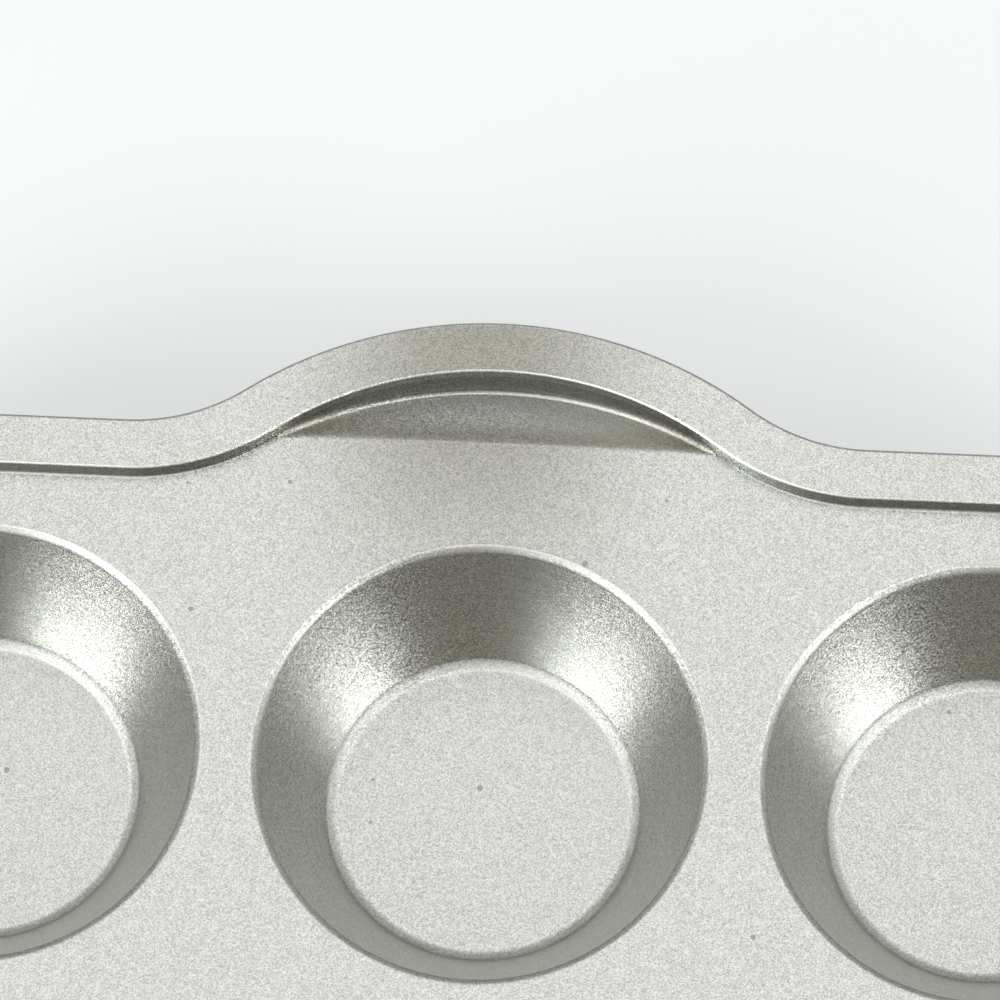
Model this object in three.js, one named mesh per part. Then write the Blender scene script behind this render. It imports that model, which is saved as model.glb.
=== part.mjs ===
// Mini tart pan: a cast tray of tart cups, with a raised rim and an arched handle at each end.
// Millimetres, +Z up. The pan stands on its cup floors at z = 0, and its handles point along +Y and -Y.
// The casting is one continuous piece. It is divided here into named sections along its natural lines.
import * as THREE from "three";
import { mergeVertices } from "three/addons/utils/BufferGeometryUtils.js";

// Cup layout
const cupColumns = 3;
const cupRows = 4;
const cupGap = 9.2; // deck left between the mouths of two neighbours

// Cup form, to the sharp corners that the rounds replace
const mouthRadius = 35;
const floorRadius = 24.3;
const cupDepth = 26;
const mouthRound = 1.8;
const floorRound = 2.5;
const lipWidth = 1.2; // flat ring of deck that belongs to the cup

// Casting
const wall = 2.5;
const seam = 0.02; // hairline between two sections

// Deck and rim
const deckMargin = 9.5; // deck from a cup's mouth to the foot of the rim wall
const cornerRadius = 30; // foot of the rim wall, seen from above
const rimHeight = 2.8; // flange above the deck
const rimDraft = THREE.MathUtils.degToRad(11.5);
const flangeWidth = 8.2;
const flangeRound = 0.8; // chamfer that stands for the rounded edges of the flange

// Handles, along the outer edge of the flange
const handleReach = 18.5; // how far the arch stands out past the straight rim
const handleArcRadius = 69;
const handleBlendRadius = 32;

// Thumb scoop inside each handle
const scoopDepth = 3.85;
const scoopRadius = 45; // hollow curve of the scoop's floor

// Facets
const cupSides = 28;
const roundSteps = 2;
const cornerSteps = 8;
const arcSteps = 16;
const blendSteps = 4;
const scoopSteps = 3;
const footPasses = 6; // rounds of the search for the foot of the rim wall in the scoop

// Levels and places worked out from the sizes above
const cupPitch = 2 * mouthRadius + cupGap;
const deckTop = wall + cupDepth;
const halfWidth = ((cupColumns - 1) / 2) * cupPitch + mouthRadius + deckMargin;
const halfLength = ((cupRows - 1) / 2) * cupPitch + mouthRadius + deckMargin;
const frontEnd = halfWidth - cornerRadius; // where the straight ends give way to the corners
const sideEnd = halfLength - cornerRadius;

// Cups
const cupDraft = Math.atan2(mouthRadius - floorRadius, cupDepth);
const mouthTangent = mouthRound * Math.tan((Math.PI / 2 - cupDraft) / 2);
const lipRadius = mouthRadius + mouthTangent + lipWidth;

function roundedOutline(corners) {
  return corners.flatMap(({ at, round }, i) => {
    if (!round) return [at];
    const toLast = corners[i - 1].at.clone().sub(at).normalize();
    const toNext = corners[i + 1].at.clone().sub(at).normalize();
    const halfAngle = Math.acos(toLast.dot(toNext)) / 2;
    const bisector = toLast.clone().add(toNext).normalize();
    const centre = at.clone().addScaledVector(bisector, round / Math.sin(halfAngle));
    const start = at.clone().addScaledVector(toLast, round / Math.tan(halfAngle));
    const turn = Math.sign(toNext.cross(toLast)) * (Math.PI - 2 * halfAngle);
    const steps = [...Array(roundSteps + 1).keys()];
    return steps.map((step) => start.clone().rotateAround(centre, (turn * step) / roundSteps));
  });
}

// The cup's outline runs from the axis along the underside, round the lip and down the inside.
function cupGeometry() {
  const at = (radius, height) => new THREE.Vector2(radius, height);
  const wallAcross = wall / Math.cos(cupDraft);
  const underFloor = floorRadius - wall * Math.tan(cupDraft) + wallAcross;
  const underMouth = mouthRadius - wall * Math.tan(cupDraft) + wallAcross;
  const outline = roundedOutline([
    { at: at(0, 0) },
    { at: at(underFloor, 0), round: floorRound + wall },
    { at: at(underMouth, deckTop - wall) },
    { at: at(lipRadius, deckTop - wall) },
    { at: at(lipRadius, deckTop) },
    { at: at(mouthRadius, deckTop), round: mouthRound },
    { at: at(floorRadius, wall), round: floorRound },
    { at: at(0, wall) },
  ]);
  return new THREE.LatheGeometry(outline, cupSides).rotateX(Math.PI / 2);
}

function cupCentres() {
  const centres = [];
  for (let row = 0; row < cupRows; row++) {
    for (let column = 0; column < cupColumns; column++) {
      const x = (column - (cupColumns - 1) / 2) * cupPitch;
      const y = (row - (cupRows - 1) / 2) * cupPitch;
      centres.push({ name: `cup_r${row + 1}_c${column + 1}`, x, y });
    }
  }
  return centres;
}

// Stations stand along the foot of the rim wall at deck level, counterclockwise from above.
// A facing is the way out of the pan, as an angle from +Y towards +X.
function stationsAround(centre, radius, fromFacing, toFacing, steps) {
  return [...Array(steps + 1).keys()].map((step) => {
    const facing = THREE.MathUtils.lerp(fromFacing, toFacing, step / steps);
    const out = new THREE.Vector2(Math.sin(facing), Math.cos(facing));
    return { at: centre.clone().addScaledVector(out, radius), out, drop: 0 };
  });
}

// Handle arch: a convex arc between two blends, offset inwards from the outer edge of the flange
const flangeReach = flangeWidth + rimHeight * Math.tan(rimDraft);
const arcRadius = handleArcRadius - flangeReach;
const blendRadius = handleBlendRadius + flangeReach;
const blendX = Math.sqrt(handleReach * (2 * (arcRadius + blendRadius) - handleReach));
const arcHalf = Math.asin(blendX / (arcRadius + blendRadius));
const archTop = halfLength + handleReach;

// Scoop floor: a hollow arc from the chord across the arch down to the foot of the wall
const chordY = halfLength + blendRadius * (1 - Math.cos(arcHalf));
const scoopRun = archTop - scoopDepth * Math.tan(rimDraft) - chordY;
const scoopSpan = Math.hypot(scoopRun, scoopDepth);
const scoopRise = Math.sqrt(scoopRadius ** 2 - (scoopSpan / 2) ** 2);
const scoopCentreY = chordY + scoopRun / 2 + (scoopDepth / scoopSpan) * scoopRise;
const scoopCentreZ = -scoopDepth / 2 + (scoopRun / scoopSpan) * scoopRise;

function scoopFloor(y) {
  return scoopCentreZ - Math.sqrt(scoopRadius ** 2 - (y - scoopCentreY) ** 2);
}

// The drafted wall leans inwards as it goes down, so its foot is found step by step.
function footDrop(station) {
  let drop = 0;
  for (let pass = 0; pass < footPasses; pass++) {
    drop = -scoopFloor(station.at.y - station.out.y * drop * Math.tan(rimDraft));
  }
  return drop;
}

function archStations() {
  const centre = new THREE.Vector2(0, archTop - arcRadius);
  const arc = stationsAround(centre, arcRadius, arcHalf, -arcHalf, arcSteps);
  arc.slice(1, -1).forEach((station) => (station.drop = footDrop(station)));
  return arc;
}

function blendStations(side) {
  const centre = new THREE.Vector2(side * blendX, halfLength + blendRadius);
  const [from, to] = side > 0 ? [0, arcHalf] : [-arcHalf, 0];
  return stationsAround(centre, -blendRadius, from, to, blendSteps);
}

function straightStation(x, y, facing) {
  return stationsAround(new THREE.Vector2(x, y), 0, facing, facing, 1)[0];
}

function cornerStations(side) {
  const centre = new THREE.Vector2(side * frontEnd, sideEnd);
  const [from, to] = side > 0 ? [Math.PI / 2, 0] : [0, -Math.PI / 2];
  return stationsAround(centre, cornerRadius, from, to, cornerSteps);
}

// Half of the rim line: a side, a corner, the end with its handle, and the next corner
const arch = archStations();
const rightBlend = blendStations(1);
const leftBlend = blendStations(-1);
const rightCorner = cornerStations(1);
const leftCorner = cornerStations(-1);
const side = [-sideEnd, sideEnd].map((y) => straightStation(halfWidth, y, Math.PI / 2));
const endRim = [
  straightStation(frontEnd, halfLength, 0),
  ...rightBlend,
  ...arch.slice(1, -1),
  ...leftBlend,
  straightStation(-frontEnd, halfLength, 0),
];

// A closed body through a row of loops that have as many points each
function loftBody(loops, capFaces) {
  const size = loops[0].length;
  const points = loops.flat();
  const lastLoop = points.length - size;
  const faces = capFaces.flatMap(([a, b, c]) => [[a, b, c], [c + lastLoop, b + lastLoop, a + lastLoop]]);
  for (let start = 0; start < lastLoop; start += size) {
    for (let k = 0; k < size; k++) {
      const a = start + k;
      const b = start + ((k + 1) % size);
      faces.push([a, b, b + size], [a, b + size, a + size]);
    }
  }
  const same = (a, b) => points[a].equals(points[b]);
  const whole = faces.filter(([a, b, c]) => !same(a, b) && !same(b, c) && !same(c, a));
  const geometry = new THREE.BufferGeometry().setFromPoints(points);
  geometry.setIndex(whole.flat());
  return mergeVertices(geometry);
}

// Rim section, outwards from the foot line and upwards from the deck
function rimSection(drop) {
  const inner = (height) => height * Math.tan(rimDraft);
  const outer = (height) => inner(height) + wall / Math.cos(rimDraft);
  return [
    [inner(-drop), -drop],
    [inner(rimHeight - flangeRound), rimHeight - flangeRound],
    [inner(rimHeight) + flangeRound, rimHeight],
    [flangeReach - flangeRound, rimHeight],
    [flangeReach, rimHeight - flangeRound],
    [flangeReach, rimHeight - wall],
    [outer(rimHeight - wall), rimHeight - wall],
    [outer(-drop - wall), -drop - wall],
    [inner(-drop), -drop - wall],
  ].map(([out, up]) => new THREE.Vector2(out, up));
}

function rimGeometry(stations) {
  const loops = stations.map(({ at, out, drop }) =>
    rimSection(drop).map((point) => {
      const plan = at.clone().addScaledVector(out, point.x);
      return new THREE.Vector3(plan.x, plan.y, deckTop + point.y);
    }),
  );
  return loftBody(loops, THREE.ShapeUtils.triangulateShape(rimSection(0), []));
}

// The scoop is a thin curved floor that comes to a point at both ends of the arch.
function scoopGeometry() {
  const loops = arch.map(({ at, out, drop }) => {
    const foot = at.clone().addScaledVector(out, -drop * Math.tan(rimDraft) - seam);
    const reach = drop > 0 ? foot.y - chordY : 0;
    const x = drop > 0 ? foot.x : at.x;
    const top = [...Array(scoopSteps + 1).keys()].map((step) => {
      const y = chordY + (reach * step) / scoopSteps;
      return new THREE.Vector3(x, y, deckTop + (drop > 0 ? scoopFloor(y) : 0));
    });
    const under = top.map((point) => point.clone().setZ(point.z - wall)).reverse();
    return [...top, ...under];
  });
  return loftBody(loops, []);
}

// Deck: the flat plate inside the rim, less the cups and the two scoops
function deckGeometry() {
  const half = [...rightCorner, endRim[0], ...rightBlend, ...leftBlend, endRim.at(-1), ...leftCorner];
  const inset = half.map(({ at, out }) => at.clone().addScaledVector(out, -seam));
  const turned = inset.map((point) => point.clone().negate());
  const edge = [...inset, ...turned];
  const shape = new THREE.Shape(edge.filter((point, i) => point.distanceTo(edge.at(i - 1)) > seam));
  const holeRadius = lipRadius + seam;
  for (const { x, y } of cupCentres()) {
    const rim = [...Array(cupSides).keys()].map((k) => {
      const angle = (2 * Math.PI * k) / cupSides;
      return new THREE.Vector2(x + holeRadius * Math.sin(angle), y + holeRadius * Math.cos(angle));
    });
    shape.holes.push(new THREE.Path(rim));
  }
  const plate = new THREE.ExtrudeGeometry(shape, { depth: wall, bevelEnabled: false });
  return plate.translate(0, 0, deckTop - wall);
}

function section(name, geometry) {
  const coating = new THREE.MeshStandardMaterial({ color: 0xc6c8c2, roughness: 0.45, metalness: 0.8 });
  const mesh = new THREE.Mesh(geometry, coating);
  mesh.name = name;
  return mesh;
}

const pan = new THREE.Group();
pan.add(section("deck", deckGeometry()));

for (const { name, x, y } of cupCentres()) {
  const cup = section(name, cupGeometry());
  cup.position.set(x, y, 0);
  pan.add(cup);
}

// The two ends are alike, half a turn apart.
const ends = [
  { end: "back", turn: 0, right: "right", left: "left" },
  { end: "front", turn: Math.PI, right: "left", left: "right" },
];
for (const { end, turn, right, left } of ends) {
  const half = new THREE.Group();
  half.rotation.z = turn;
  half.add(section(`rim_${right}`, rimGeometry(side)));
  half.add(section(`corner_${end}_${right}`, rimGeometry(rightCorner)));
  half.add(section(`handle_${end}`, rimGeometry(endRim)));
  half.add(section(`corner_${end}_${left}`, rimGeometry(leftCorner)));
  half.add(section(`scoop_${end}`, scoopGeometry()));
  pan.add(half);
}

export default pan;
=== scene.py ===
# Mini tart pan: the looks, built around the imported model. Sizes in millimetres unless a note says metres.
import math

import bmesh
import bpy
from mathutils import Matrix, Vector


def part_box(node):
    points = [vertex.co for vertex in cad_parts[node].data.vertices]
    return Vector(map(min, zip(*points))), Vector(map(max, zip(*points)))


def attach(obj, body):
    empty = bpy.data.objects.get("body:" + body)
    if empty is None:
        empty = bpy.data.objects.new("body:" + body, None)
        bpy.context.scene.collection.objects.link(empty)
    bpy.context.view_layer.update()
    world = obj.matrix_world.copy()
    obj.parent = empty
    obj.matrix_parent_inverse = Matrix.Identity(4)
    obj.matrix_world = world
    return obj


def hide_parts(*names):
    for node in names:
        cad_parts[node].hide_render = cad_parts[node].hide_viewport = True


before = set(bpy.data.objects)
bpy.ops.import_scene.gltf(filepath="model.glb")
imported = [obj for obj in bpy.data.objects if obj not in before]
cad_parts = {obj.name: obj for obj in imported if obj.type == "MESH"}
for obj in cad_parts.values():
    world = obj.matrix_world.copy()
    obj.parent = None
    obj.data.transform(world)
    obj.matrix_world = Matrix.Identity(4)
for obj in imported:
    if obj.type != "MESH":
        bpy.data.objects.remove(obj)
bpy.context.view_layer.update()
scene = bpy.context.scene
print("frame loaded with", len(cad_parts), "sections")

mm = 0.001


# Camera, set to the photograph's view: a long lens that looks down on the back handle
cameraView = {
    "target": (1.02, 161.98, 28.5),
    "distance": 1480.95,
    "azimuth": 6.0,  # degrees round from the front
    "elevation": 71.5,
    "roll": -3.3,
    "lens": 340.0,
    "sensor": 36.0,
    "clip": (0.05, 50.0),  # metres
}


def makeCamera(view):
    azimuth = math.radians(view["azimuth"])
    elevation = math.radians(view["elevation"])
    roll = math.radians(view["roll"])
    flat = math.cos(elevation)
    back = Vector((math.sin(azimuth) * flat, -math.cos(azimuth) * flat, math.sin(elevation)))
    right = Vector((math.cos(azimuth), math.sin(azimuth), 0))
    up = back.cross(right)
    across = right * math.cos(roll) + up * math.sin(roll)
    upright = up * math.cos(roll) - right * math.sin(roll)
    data = bpy.data.cameras.new("panCamera")
    data.lens = view["lens"]
    data.sensor_width = view["sensor"]
    data.clip_start, data.clip_end = view["clip"]
    camera = bpy.data.objects.new("panCamera", data)
    place = (Vector(view["target"]) + back * view["distance"]) * mm
    camera.matrix_world = Matrix.Translation(place) @ Matrix((across, upright, back)).transposed().to_4x4()
    scene.collection.objects.link(camera)
    scene.camera = camera


makeCamera(cameraView)
print("camera placed")


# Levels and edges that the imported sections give
seam = 0.02  # hairline gap between the sections
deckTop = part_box("deck")[1].z / mm
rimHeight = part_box("rim_left")[1].z / mm - deckTop
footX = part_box("corner_back_right")[0].x / mm  # where the straight end gives way to the corner
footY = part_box("corner_back_right")[0].y / mm
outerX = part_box("rim_right")[1].x / mm
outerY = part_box("corner_back_right")[1].y / mm
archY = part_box("handle_back")[1].y / mm
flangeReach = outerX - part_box("deck")[1].x / mm - seam  # from the foot of the wall to the outer edge
cornerRadius = outerX - flangeReach - footX


coating = bpy.data.materials.new("silverSparkleCoat")
sharpAngle = math.radians(38)
mergeDistance = 0.001


def finishPiece(name, bm, *nodes):
    bmesh.ops.scale(bm, vec=(mm, mm, mm), verts=bm.verts)
    mesh = bpy.data.meshes.new(name)
    bm.to_mesh(mesh)
    bm.free()
    mesh.shade_smooth()
    mesh.set_sharp_from_angle(angle=sharpAngle)
    mesh.materials.append(coating)
    piece = bpy.data.objects.new(name, mesh)
    scene.collection.objects.link(piece)
    shading = piece.modifiers.new("evenShading", "WEIGHTED_NORMAL")
    shading.keep_sharp = True
    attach(piece, "root")
    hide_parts(*nodes)
    return piece


# Tart cups: one outline, rounded at its corners and spun about the cup's axis
tartCup = {
    "rows": 4,
    "columns": 3,
    "mouthRadius": 35.0,
    "floorRadius": 24.3,
    "wall": 2.5,
    "mouthRound": 1.8,
    "floorRound": 2.5,
    "underMouthRound": 2.0,
    "roundSteps": 10,
    "turnSteps": 144,
}


def roundVertex(bm, vert, radius, steps):
    before, after = [edge.other_vert(vert).co - vert.co for edge in vert.link_edges]
    reach = radius / math.tan(before.angle(after) / 2)
    bmesh.ops.bevel(
        bm, geom=[vert], offset=reach, offset_type="OFFSET", segments=steps, profile=0.5,
        affect="VERTICES", material=-1, clamp_overlap=False,
    )


def makeCup(name, node, cup):
    low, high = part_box(node)
    middle = (low + high) / 2 / mm
    lip = (high.x - low.x) / 2 / mm
    draft = math.atan2(cup["mouthRadius"] - cup["floorRadius"], deckTop - cup["wall"])
    outwards = cup["wall"] / math.cos(draft) - cup["wall"] * math.tan(draft)
    # radius, height and rounding of each corner, from the middle of the underside round to the middle of the floor
    outline = [
        (0, 0, 0),
        (cup["floorRadius"] + outwards, 0, cup["floorRound"] + cup["wall"]),
        (cup["mouthRadius"] + outwards, deckTop - cup["wall"], cup["underMouthRound"]),
        (lip, deckTop - cup["wall"], 0),
        (lip, deckTop, 0),
        (cup["mouthRadius"], deckTop, cup["mouthRound"]),
        (cup["floorRadius"], cup["wall"], cup["floorRound"]),
        (0, cup["wall"], 0),
    ]
    bm = bmesh.new()
    corners = [bm.verts.new((radius, 0, height)) for radius, height, _ in outline]
    for start, end in zip(corners, corners[1:]):
        bm.edges.new((start, end))
    for corner, (_, _, rounding) in zip(corners, outline):
        if rounding:
            roundVertex(bm, corner, rounding, cup["roundSteps"])
    bmesh.ops.spin(
        bm, geom=bm.verts[:] + bm.edges[:], cent=(0, 0, 0), axis=(0, 0, 1), dvec=(0, 0, 0),
        angle=2 * math.pi, steps=cup["turnSteps"], use_merge=True, use_duplicate=False,
    )
    bmesh.ops.remove_doubles(bm, verts=bm.verts, dist=mergeDistance)
    bmesh.ops.recalc_face_normals(bm, faces=bm.faces)
    bmesh.ops.translate(bm, vec=(middle.x, middle.y, 0), verts=bm.verts)
    return finishPiece(name, bm, node)


for row in range(1, tartCup["rows"] + 1):
    for column in range(1, tartCup["columns"] + 1):
        makeCup(f"tartCupR{row}C{column}", f"cup_r{row}_c{column}", tartCup)
print("cups spun")


# Rim: a step up from the deck, rounded over into a flat flange
rimFlange = {
    "wall": 2.5,
    "draft": math.radians(11.5),
    "footRound": 0.45,
    "innerRound": 0.5,
    "outerRound": 0.8,
    "underRound": 0.6,
    "footStrip": 2.4,  # deck that belongs to the rim
    "floorSteps": 16,
    "roundSteps": 6,
    "cornerSteps": 48,
}


def roundCorner(before, corner, after, radius, steps):
    toBefore = (before - corner).normalized()
    toAfter = (after - corner).normalized()
    half = toBefore.angle(toAfter) / 2
    centre = corner + (toBefore + toAfter).normalized() * (radius / math.sin(half))
    start = corner + toBefore * (radius / math.tan(half)) - centre
    end = corner + toAfter * (radius / math.tan(half)) - centre
    turn = start.angle_signed(end) if radius else 0
    points = []
    for step in range(steps + 1):
        spoke = start.copy()
        spoke.rotate(Matrix.Rotation(-turn * step / steps, 2))
        points.append(centre + spoke)
    return points


# Points of the section, outwards from the foot line and upwards from the deck.
# floorPoints run from the inside edge to the start of the foot's round.
def rimSection(rim, floorPoints, foot, footRound):
    lean = math.tan(rim["draft"])
    thick = rim["wall"] / math.cos(rim["draft"])
    steps = rim["roundSteps"]
    under = rimHeight - rim["wall"]
    innerTop = Vector((rimHeight * lean, rimHeight))
    outerTop = Vector((flangeReach, rimHeight))
    outerUnder = Vector((flangeReach, under))
    crook = Vector((under * lean + thick, under))
    heel = Vector(((foot.y - rim["wall"]) * lean + thick, foot.y - rim["wall"]))
    underFloor = [point - Vector((0, rim["wall"])) for point in floorPoints]
    points = list(floorPoints[:-1])
    points += roundCorner(floorPoints[-1], foot, innerTop, footRound, steps)
    points += roundCorner(foot, innerTop, outerTop, rim["innerRound"], steps)
    points += roundCorner(innerTop, outerTop, outerUnder, rim["outerRound"], steps)
    points += roundCorner(outerTop, outerUnder, crook, rim["underRound"], steps)
    points += roundCorner(outerUnder, crook, heel, rim["underRound"], steps)
    points += roundCorner(crook, heel, underFloor[-1], rim["underRound"], steps)
    points += reversed(underFloor)
    return points


# The section where the rim stands on flat deck. A share below 1 narrows the strip of deck and the foot's round.
def plainSection(rim, share=1.0):
    width = rim["footStrip"] * share
    footRound = rim["footRound"] * share
    reach = footRound * math.tan((math.pi / 2 - rim["draft"]) / 2)
    steps = rim["floorSteps"]
    floorPoints = [Vector((-width + (width - reach) * step / steps, 0)) for step in range(steps + 1)]
    return rimSection(rim, floorPoints, Vector((0, 0)), footRound)


# A station is a point on the foot line with the way out of the pan.
def placeSection(points, at, out):
    return [Vector((at.x + out.x * p.x, at.y + out.y * p.x, deckTop + p.y)) for p in points]


def outAt(angle):
    return Vector((math.sin(angle), math.cos(angle)))


def arcStations(centre, radius, start, end, steps):
    angles = [start + (end - start) * step / steps for step in range(steps + 1)]
    return [(centre + outAt(angle) * radius, outAt(angle)) for angle in angles]


def sweep(rows):
    bm = bmesh.new()
    spans = len(rows) - 1
    around = len(rows[0])
    bmesh.ops.create_grid(bm, x_segments=spans, y_segments=around, size=0.5)
    for vert in bm.verts:
        row = round((vert.co.x + 0.5) * spans)
        point = round((vert.co.y + 0.5) * around)
        vert.co = rows[row][point % around]
    bmesh.ops.remove_doubles(bm, verts=bm.verts, dist=mergeDistance)
    bmesh.ops.holes_fill(bm, edges=[edge for edge in bm.edges if edge.is_boundary], sides=0)
    bmesh.ops.recalc_face_normals(bm, faces=bm.faces)
    return bm


plain = plainSection(rimFlange)
sideX = footX + cornerRadius
rightSide = [placeSection(plain, Vector((sideX, y)), Vector((1, 0))) for y in (-footY, footY)]
rightCorner = [
    placeSection(plain, at, out)
    for at, out in arcStations(
        Vector((footX, footY)), cornerRadius, math.pi / 2, 0, rimFlange["cornerSteps"]
    )
]


# Arched handle with its thumb scoop: the foot of the wall sinks into the hollow below the deck
archHandle = {
    "arcRadius": 69.0,  # outer edge of the flange
    "blendRadius": 32.0,
    "scoopDepth": 3.85,
    "scoopRadius": 45.0,
    "footRound": 0.5,
    "footSpread": 1.1,  # floor that the foot's round takes, for each millimetre of its radius
    "footRoom": 0.5,  # most of the scoop's width that the foot's round may take
    "chordRound": 0.5,  # how softly the deck rolls into the scoop
    "chordGather": 1.5,  # above 1 draws the floor's points towards the chord
    "slopeStep": 0.01,
    "settleSteps": 8,
    "leastShare": 1e-6,
    "arcSteps": 120,
    "blendSteps": 32,
}


def archRows(rim, handle):
    lean = math.tan(rim["draft"])
    foot = outerY - flangeReach
    reach = archY - outerY
    radius = handle["arcRadius"] - flangeReach
    blend = handle["blendRadius"] + flangeReach
    blendX = math.sqrt(reach * (2 * (radius + blend) - reach))
    half = math.asin(blendX / (radius + blend))
    middle = Vector((0, foot + reach - radius))
    chord = foot + blend * (1 - math.cos(half))
    # hollow arc of the scoop's floor
    run = foot + reach - handle["scoopDepth"] * lean - chord
    span = math.hypot(run, handle["scoopDepth"])
    rise = math.sqrt(handle["scoopRadius"] ** 2 - (span / 2) ** 2)
    hollowY = chord + run / 2 + handle["scoopDepth"] / span * rise
    hollowZ = -handle["scoopDepth"] / 2 + run / span * rise

    def floorHeight(y):
        along = max(y - chord, 0)
        soft = along / (along + handle["chordRound"])
        return soft * (hollowZ - math.sqrt(handle["scoopRadius"] ** 2 - (y - hollowY) ** 2))

    def floorSlope(y):
        step = handle["slopeStep"]
        return (floorHeight(y + step) - floorHeight(y - step)) / (2 * step)

    def scoopSection(angle):
        ahead = math.cos(angle)
        # the wall leans, so its foot settles where wall and floor agree
        drop = 0
        for _ in range(handle["settleSteps"]):
            drop = -floorHeight(middle.y + (radius - drop * lean) * ahead)
        footOut = -drop * lean
        chordOut = (chord - middle.y) / ahead - radius
        width = footOut - chordOut
        startOut = footOut - min(handle["footRound"] * handle["footSpread"], width * handle["footRoom"])
        steps = rim["floorSteps"]
        shares = [(step / steps) ** handle["chordGather"] for step in range(steps + 1)]
        outs = [chordOut + (startOut - chordOut) * share for share in shares]
        floorPoints = [Vector((out, floorHeight(middle.y + (radius + out) * ahead))) for out in outs]
        slope = floorSlope(middle.y + (radius + startOut) * ahead) * ahead
        start = floorPoints[-1]
        # the wall's line is out = height * lean
        height = (start.y - slope * start.x) / (1 - slope * lean)
        corner = Vector((height * lean, height))
        toFloor = start - corner
        toTop = Vector((lean, 1))
        footRound = toFloor.length * math.tan(toFloor.angle(toTop) / 2)
        return rimSection(rim, floorPoints, corner, footRound)

    def scoopRows():
        steps = handle["arcSteps"]
        stations = arcStations(middle, radius, half, -half, steps)
        angles = [half - 2 * half * step / steps for step in range(steps + 1)]
        inside = list(zip(stations, angles))[1:-1]
        return [placeSection(scoopSection(angle), at, out) for (at, out), angle in inside]

    # the strip of deck narrows from the straight end to the arch
    def blendRows(side):
        steps = handle["blendSteps"]
        centre = Vector((side * blendX, foot + blend))
        angles = (0, half) if side > 0 else (-half, 0)
        stations = arcStations(centre, -blend, *angles, steps)
        shares = [max(step / steps, handle["leastShare"]) for step in range(steps + 1)]
        if side > 0:
            shares.reverse()
        return [
            placeSection(plainSection(rim, share), at, out)
            for (at, out), share in zip(stations, shares)
        ]

    ends = [placeSection(plain, Vector((x, foot)), Vector((0, 1))) for x in (footX, -footX)]
    return ends[:1] + blendRows(1) + scoopRows() + blendRows(-1) + ends[1:]


endRows = archRows(rimFlange, archHandle)


def turned(rows, x, y):
    return [[Vector((point.x * x, point.y * y, point.z)) for point in row] for row in rows]


sides = (("right", 1), ("left", -1))
ends = (("back", 1), ("front", -1))
for sideName, x in sides:
    finishPiece(f"sideRim{sideName.title()}", sweep(turned(rightSide, x, 1)), f"rim_{sideName}")
    for endName, y in ends:
        name = f"rimCorner{endName.title()}{sideName.title()}"
        finishPiece(name, sweep(turned(rightCorner, x, y)), f"corner_{endName}_{sideName}")
for endName, y in ends:
    name = f"archHandle{endName.title()}"
    finishPiece(name, sweep(turned(endRows, 1, y)), f"handle_{endName}", f"scoop_{endName}")
print("rim and handles swept")


# Deck: the flat plate inside the rim, with a round hole for each cup
def makeDeck():
    rightEdge = [row[0] for row in rightCorner]
    endEdge = [row[0] for row in endRows]
    leftEdge = [Vector((-p.x, p.y, p.z)) for p in reversed(rightEdge)]
    half = rightEdge + endEdge + leftEdge
    edge = half + [Vector((-p.x, -p.y, p.z)) for p in half]
    bm = bmesh.new()
    verts = [bm.verts.new(point) for point in edge]
    for start, end in zip(verts, verts[1:] + verts[:1]):
        bm.edges.new((start, end))
    bmesh.ops.remove_doubles(bm, verts=bm.verts, dist=mergeDistance)
    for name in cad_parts:
        if name.startswith("cup_"):
            low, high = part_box(name)
            middle = (low + high) / 2 / mm
            bmesh.ops.create_circle(
                bm, segments=tartCup["turnSteps"], radius=(high.x - low.x) / 2 / mm,
                matrix=Matrix.Translation((middle.x, middle.y, deckTop)),
            )
    bmesh.ops.triangle_fill(bm, edges=bm.edges[:], use_beauty=True, use_dissolve=False, normal=(0, 0, 1))
    grown = bmesh.ops.extrude_face_region(bm, geom=bm.faces[:])
    lower = [item for item in grown["geom"] if isinstance(item, bmesh.types.BMVert)]
    bmesh.ops.translate(bm, vec=(0, 0, -rimFlange["wall"]), verts=lower)
    bmesh.ops.recalc_face_normals(bm, faces=bm.faces)
    return finishPiece("panDeck", bm, "deck")


makeDeck()
print("deck filled")


# Node helpers
def setInput(tree, socket, value):
    if isinstance(value, bpy.types.NodeSocket):
        tree.links.new(value, socket)
    else:
        socket.default_value = value


def mathNode(tree, operation, first, second=0.0):
    node = tree.nodes.new("ShaderNodeMath")
    node.operation = operation
    setInput(tree, node.inputs[0], first)
    setInput(tree, node.inputs[1], second)
    return node.outputs[0]


def productNode(tree, first, *others):
    for other in others:
        first = mathNode(tree, "MULTIPLY", first, other)
    return first


def vectorNode(tree, operation, first, second=(0, 0, 0)):
    node = tree.nodes.new("ShaderNodeVectorMath")
    node.operation = operation
    setInput(tree, node.inputs[0], first)
    setInput(tree, node.inputs[1], second)
    return node


def splitNode(tree, vector):
    node = tree.nodes.new("ShaderNodeSeparateXYZ")
    setInput(tree, node.inputs[0], vector)
    return node.outputs


def rampNode(tree, value, low, high, start=0.0, end=1.0):
    node = tree.nodes.new("ShaderNodeMapRange")
    node.interpolation_type = "SMOOTHSTEP"
    setInput(tree, node.inputs["Value"], value)
    setInput(tree, node.inputs["From Min"], low)
    setInput(tree, node.inputs["From Max"], high)
    setInput(tree, node.inputs["To Min"], start)
    setInput(tree, node.inputs["To Max"], end)
    return node.outputs[0]


def mixNode(tree, factor, first, second, blend="MIX"):
    node = tree.nodes.new("ShaderNodeMix")
    node.data_type = "RGBA"
    node.blend_type = blend
    setInput(tree, node.inputs["Factor"], factor)
    setInput(tree, node.inputs["A"], first)
    setInput(tree, node.inputs["B"], second)
    return node.outputs["Result"]


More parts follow.
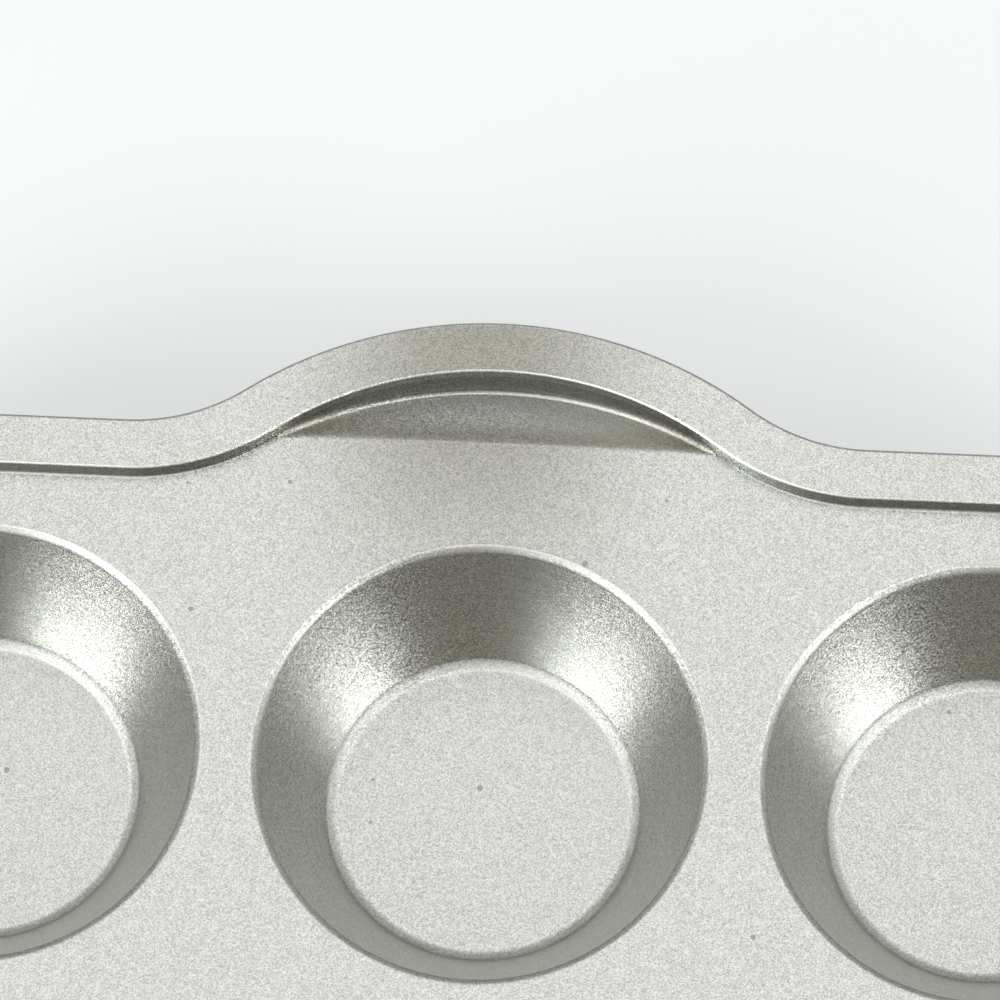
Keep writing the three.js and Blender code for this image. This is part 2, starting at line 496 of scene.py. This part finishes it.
def noiseNode(tree, vector, scale, detail):
    node = tree.nodes.new("ShaderNodeTexNoise")
    node.inputs["Scale"].default_value = scale
    node.inputs["Detail"].default_value = detail
    setInput(tree, node.inputs["Vector"], vector)
    return node.outputs[0]


# Coating of fine metal flakes: each cell of the pattern is one flake with its own tilt and shade
def makeFlakeGroup():
    group = bpy.data.node_groups.new("flakeField", "ShaderNodeTree")
    for name, kind, way in (
        ("Size", "NodeSocketFloat", "INPUT"), ("Tilt", "NodeSocketFloat", "INPUT"),
        ("Shade", "NodeSocketFloat", "OUTPUT"), ("Hue", "NodeSocketColor", "OUTPUT"),
        ("Normal", "NodeSocketVector", "OUTPUT"),
    ):
        group.interface.new_socket(name, in_out=way, socket_type=kind)
    into = group.nodes.new("NodeGroupInput")
    out = group.nodes.new("NodeGroupOutput")
    place = group.nodes.new("ShaderNodeTexCoord")
    cells = group.nodes.new("ShaderNodeTexVoronoi")
    setInput(group, cells.inputs["Vector"], place.outputs["Object"])
    setInput(group, cells.inputs["Scale"], mathNode(group, "DIVIDE", 1.0, into.outputs["Size"]))
    lean = vectorNode(group, "SUBTRACT", cells.outputs["Color"], (0.5, 0.5, 0.5)).outputs[0]
    scaled = vectorNode(group, "SCALE", lean)
    setInput(group, scaled.inputs["Scale"], into.outputs["Tilt"])
    shape = group.nodes.new("ShaderNodeNewGeometry")
    tilted = vectorNode(group, "ADD", shape.outputs["Normal"], scaled.outputs[0]).outputs[0]
    normal = vectorNode(group, "NORMALIZE", tilted).outputs[0]
    split = group.nodes.new("ShaderNodeSeparateColor")
    setInput(group, split.inputs[0], cells.outputs["Color"])
    setInput(group, out.inputs["Shade"], split.outputs[0])
    setInput(group, out.inputs["Hue"], cells.outputs["Color"])
    setInput(group, out.inputs["Normal"], normal)
    return group


sparkleCoat = {
    "colour": (0.85, 0.86, 0.835, 1),
    "darkFlake": (0.48, 0.475, 0.45, 1),
    "hueShare": 0.2,
    "flakeSize": 0.17,
    "tilt": 0.2,
    "roughness": 0.3,
    "mottleSize": 1.6,
    "mottleDetail": 3.0,
    "mottleShare": 0.1,
    "paintedReflection": (0.56, 0.545, 0.505, 1),  # painted reflection: a darker warm tint on the middles of the handles
    "paintedScoopShade": (0.72, 0.67, 0.6, 1),  # painted shade: brownish darkening in the thumb scoops, by the chord
    "speck": (0.32, 0.3, 0.27, 1),
    "speckCell": 15.0,
    "speckShare": 0.8,
    "edge": (0.5, 0.5, 0.485, 1),  # duller and rougher coat on rounded edges
    "edgeRoughness": 0.46,
    "floorEdgeRoughness": 0.6,
    "shadedWallDark": (0.477, 0.469, 0.452, 1),  # painted shade on steep faces: darker, with more uneven flakes
    "shadedWallLight": (0.717, 0.706, 0.68, 1),
    # painted shade on the upright step of the rim
    "upright": (0.4, 0.425, 0.415, 1),
    "markSize": (16.0, 16.0, 0.45),  # turning marks round the cup walls
    "markDetail": 4.0,
    "markShare": 0.3,
}

# Where the coat changes, from none of it to all of it. Places are in metres.
# Level is 1 on a face that lies flat and 0 on one that stands upright.
coatZones = {
    # painted reflection on the middles of the handles
    "paintedReflectionAside": 0.0035,
    "paintedReflectionAcross": (0.036, 0.003),
    "paintedReflectionAlong": (0.130, 0.182),
    "paintedReflectionHeight": (0.0272, 0.0283),
    "paintedReflectionLevel": (0.93, 0.985),
    # painted shade in the thumb scoops
    "paintedScoopShadeAlong": (0.168, 0.1705),
    "paintedScoopShadeLevel": (0.945, 0.895),
    "paintedScoopShadeBottom": (0.0255, 0.0272),
    "paintedScoopShadeTop": (0.0300, 0.0292),
    "speckReach": (0.6, 1.0, 0.0, 0.032),  # most cells have no speck, the rest have small ones
    "speckLevel": (0.9, 0.98),
    "edgeStart": (0.42, 0.6),
    "edgeEnd": (0.975, 0.87),
    "roughEnd": (0.995, 0.95),
    "edgeDeep": (0.004, 0.014, 0.5, 1.0),  # less dull at the cup floors
    "floorEdge": (0.006, 0.014),
    "flangeHeight": (0.0295, 0.0305),
    "flangeInner": (0.02, 0.0),
    "flangeRelief": (0.0, 1.0, 1.0, 0.25),  # the flange's inner edge stays bright
    # painted shade on steep faces
    "shadedWallLevel": (0.68, 0.42),
    # painted shade on upright faces
    "paintedUprightShadeLevel": (0.36, 0.18),
}


def paintCoating(material, coat, zones):
    material.use_nodes = True
    tree = material.node_tree
    shader = tree.nodes["Principled BSDF"]
    place = tree.nodes.new("ShaderNodeTexCoord")
    spot = splitNode(tree, place.outputs["Object"])
    height = spot["Z"]
    across = mathNode(tree, "ABSOLUTE", mathNode(tree, "ADD", spot["X"], zones["paintedReflectionAside"]))
    along = mathNode(tree, "ABSOLUTE", spot["Y"])
    level = mathNode(tree, "ABSOLUTE", splitNode(tree, place.outputs["Normal"])["Z"])

    def inZone(name, value):
        return rampNode(tree, value, *zones[name])

    # multiplies a colour in where the mask is: used for edge wear and for painted shade and reflection
    def tintWhere(tint, mask, colour):
        return mixNode(tree, mask, tint, mixNode(tree, 1.0, tint, colour, "MULTIPLY"))

    # flakes, slightly mottled
    flakes = tree.nodes.new("ShaderNodeGroup")
    flakes.node_tree = makeFlakeGroup()
    flakes.inputs["Size"].default_value = coat["flakeSize"] * mm
    flakes.inputs["Tilt"].default_value = coat["tilt"]
    shade = flakes.outputs["Shade"]
    tint = mixNode(tree, shade, coat["darkFlake"], coat["colour"])
    tint = mixNode(tree, coat["hueShare"], tint, flakes.outputs["Hue"], "SOFT_LIGHT")
    mottle = noiseNode(tree, place.outputs["Object"], 1 / (coat["mottleSize"] * mm), coat["mottleDetail"])
    tint = mixNode(tree, coat["mottleShare"], tint, mottle, "OVERLAY")
    # painted reflection on the middles of the handles, and painted shade in the scoops
    paintedReflection = productNode(
        tree, inZone("paintedReflectionAcross", across), inZone("paintedReflectionAlong", along),
        inZone("paintedReflectionHeight", height), inZone("paintedReflectionLevel", level),
    )
    tint = tintWhere(tint, paintedReflection, coat["paintedReflection"])
    # painted shade in the scoops, by the chord
    paintedScoopShade = productNode(
        tree, inZone("paintedScoopShadeAlong", along), inZone("paintedScoopShadeLevel", level),
        inZone("paintedScoopShadeBottom", height), inZone("paintedScoopShadeTop", height),
    )
    tint = tintWhere(tint, paintedScoopShade, coat["paintedScoopShade"])
    # sparse dark specks on the flat faces
    dots = tree.nodes.new("ShaderNodeTexVoronoi")
    dots.voronoi_dimensions = "2D"
    dots.inputs["Scale"].default_value = 1 / (coat["speckCell"] * mm)
    setInput(tree, dots.inputs["Vector"], place.outputs["Object"])
    lot = tree.nodes.new("ShaderNodeSeparateColor")
    setInput(tree, lot.inputs[0], dots.outputs["Color"])
    reach = inZone("speckReach", lot.outputs[0])
    inside = mathNode(tree, "LESS_THAN", dots.outputs["Distance"], reach)
    specks = productNode(tree, inside, inZone("speckLevel", level))
    tint = mixNode(tree, specks, tint, mixNode(tree, coat["speckShare"], tint, coat["speck"]))
    # rounded edges
    edgeStart = inZone("edgeStart", level)
    flat = vectorNode(tree, "MULTIPLY", place.outputs["Object"], (1, 1, 0)).outputs[0]
    outward = vectorNode(tree, "DOT_PRODUCT", flat, place.outputs["Normal"]).outputs["Value"]
    innerEdge = productNode(tree, inZone("flangeHeight", height), inZone("flangeInner", outward))
    dulled = productNode(
        tree, inZone("edgeEnd", level), edgeStart,
        inZone("edgeDeep", height), inZone("flangeRelief", innerEdge),
    )
    tint = tintWhere(tint, dulled, coat["edge"])
    # painted shade on the cup walls, with their turning marks, then painted shade on the upright step of the rim
    turning = tree.nodes.new("ShaderNodeMapping")
    turning.inputs["Scale"].default_value = [1 / (size * mm) for size in coat["markSize"]]
    setInput(tree, turning.inputs["Vector"], place.outputs["Object"])
    marks = noiseNode(tree, turning.outputs[0], 1.0, coat["markDetail"])
    shadedWall = mixNode(tree, shade, coat["shadedWallDark"], coat["shadedWallLight"])
    shadedWall = mixNode(tree, coat["markShare"], shadedWall, marks, "OVERLAY")
    tint = tintWhere(tint, inZone("shadedWallLevel", level), shadedWall)
    tint = tintWhere(tint, inZone("paintedUprightShadeLevel", level), coat["upright"])
    rough = productNode(tree, inZone("roughEnd", level), edgeStart)
    edgeRoughness = rampNode(
        tree, height, *zones["floorEdge"], coat["floorEdgeRoughness"], coat["edgeRoughness"]
    )
    roughness = rampNode(tree, rough, 0.0, 1.0, coat["roughness"], edgeRoughness)
    setInput(tree, shader.inputs["Base Color"], tint)
    setInput(tree, shader.inputs["Roughness"], roughness)
    setInput(tree, shader.inputs["Normal"], flakes.outputs["Normal"])
    shader.inputs["Metallic"].default_value = 1.0


paintCoating(coating, sparkleCoat, coatZones)
print("coating painted")


# Stage: a pale floor, size in metres
paleFloor = {
    "colour": (0.86, 0.87, 0.87, 1),
    "roughness": 0.9,
    "shown": (0.775, 0.792, 0.795, 1),  # what the camera and the metal see
    "shadowShare": 0.3,
    "size": 8.0,
}


def makeFloor(floorSet):
    bm = bmesh.new()
    bmesh.ops.create_grid(bm, x_segments=1, y_segments=1, size=floorSet["size"])
    mesh = bpy.data.meshes.new("paleFloor")
    bm.to_mesh(mesh)
    bm.free()
    floor = bpy.data.objects.new("paleFloor", mesh)
    scene.collection.objects.link(floor)
    paint = bpy.data.materials.new("palePaper")
    paint.use_nodes = True
    tree = paint.node_tree
    matte = tree.nodes["Principled BSDF"]
    matte.inputs["Base Color"].default_value = floorSet["colour"]
    matte.inputs["Roughness"].default_value = floorSet["roughness"]
    glow = tree.nodes.new("ShaderNodeEmission")
    glow.inputs["Color"].default_value = floorSet["shown"]
    path = tree.nodes.new("ShaderNodeLightPath")
    seen = path.outputs["Is Camera Ray"]
    for kind in ("Is Glossy Ray", "Is Transmission Ray"):
        seen = mathNode(tree, "MAXIMUM", seen, path.outputs[kind])
    seen = mathNode(tree, "MULTIPLY", seen, 1 - floorSet["shadowShare"])
    both = tree.nodes.new("ShaderNodeMixShader")
    setInput(tree, both.inputs[0], seen)
    tree.links.new(matte.outputs[0], both.inputs[1])
    tree.links.new(glow.outputs[0], both.inputs[2])
    tree.links.new(both.outputs[0], tree.nodes["Material Output"].inputs["Surface"])
    mesh.materials.append(paint)


makeFloor(paleFloor)


# Room light: a bright ceiling, slightly dimmer flanks, and dim low sides in front and behind
roomLight = {
    "walls": (1.06, 1.06, 1.05, 1),
    "flanks": (0.85, 0.86, 0.85, 1),
    "flankReach": (0.35, 0.75),
    "viewerSide": (0.54, 0.495, 0.435, 1),
    "viewerWay": (0.0, -0.93, 0.36),
    "viewerReach": (0.1, 0.86),
    "backSide": (0.66, 0.67, 0.66, 1),
    "backWay": (0.0, 0.98, 0.2),
    "backReach": (0.82, 1.0),
}


def makeRoom(room):
    world = bpy.data.worlds.new("plainStudio")
    scene.world = world
    world.use_nodes = True
    tree = world.node_tree
    back = tree.nodes["Background"]
    way = tree.nodes.new("ShaderNodeTexCoord").outputs["Generated"]
    aside = mathNode(tree, "ABSOLUTE", splitNode(tree, way)["X"])
    colour = mixNode(tree, rampNode(tree, aside, *room["flankReach"]), room["walls"], room["flanks"])
    for side in ("viewer", "back"):
        facing = vectorNode(tree, "DOT_PRODUCT", way, room[side + "Way"]).outputs["Value"]
        colour = mixNode(tree, rampNode(tree, facing, *room[side + "Reach"]), colour, room[side + "Side"])
    setInput(tree, back.inputs["Color"], colour)


makeRoom(roomLight)


# Soft lamps: place, size and aim in metres, level is the brightness of the lamp's face
softLamps = [
    {"name": "keyRight", "place": (0.628, -0.177, 0.47), "size": 0.44, "level": 10.4},
    {"name": "keyLeft", "place": (-0.55, -0.33, 0.47), "size": 0.6, "level": 9.6},
]
lampColour = (0.93, 0.96, 1.0)
lampAim = Vector((0, 0.119, 0.028))


def makeLamp(lamp):
    data = bpy.data.lights.new(lamp["name"], "AREA")
    data.shape = "DISK"
    data.size = lamp["size"]
    data.color = lampColour
    face = math.pi * (lamp["size"] / 2) ** 2
    data.energy = lamp["level"] * math.pi * face
    light = bpy.data.objects.new(lamp["name"], data)
    place = Vector(lamp["place"])
    turn = (lampAim - place).to_track_quat("-Z", "Y").to_matrix().to_4x4()
    light.matrix_world = Matrix.Translation(place) @ turn
    light.visible_camera = False
    scene.collection.objects.link(light)


for lamp in softLamps:
    makeLamp(lamp)
scene.view_settings.view_transform = "Standard"
print("stage lit")
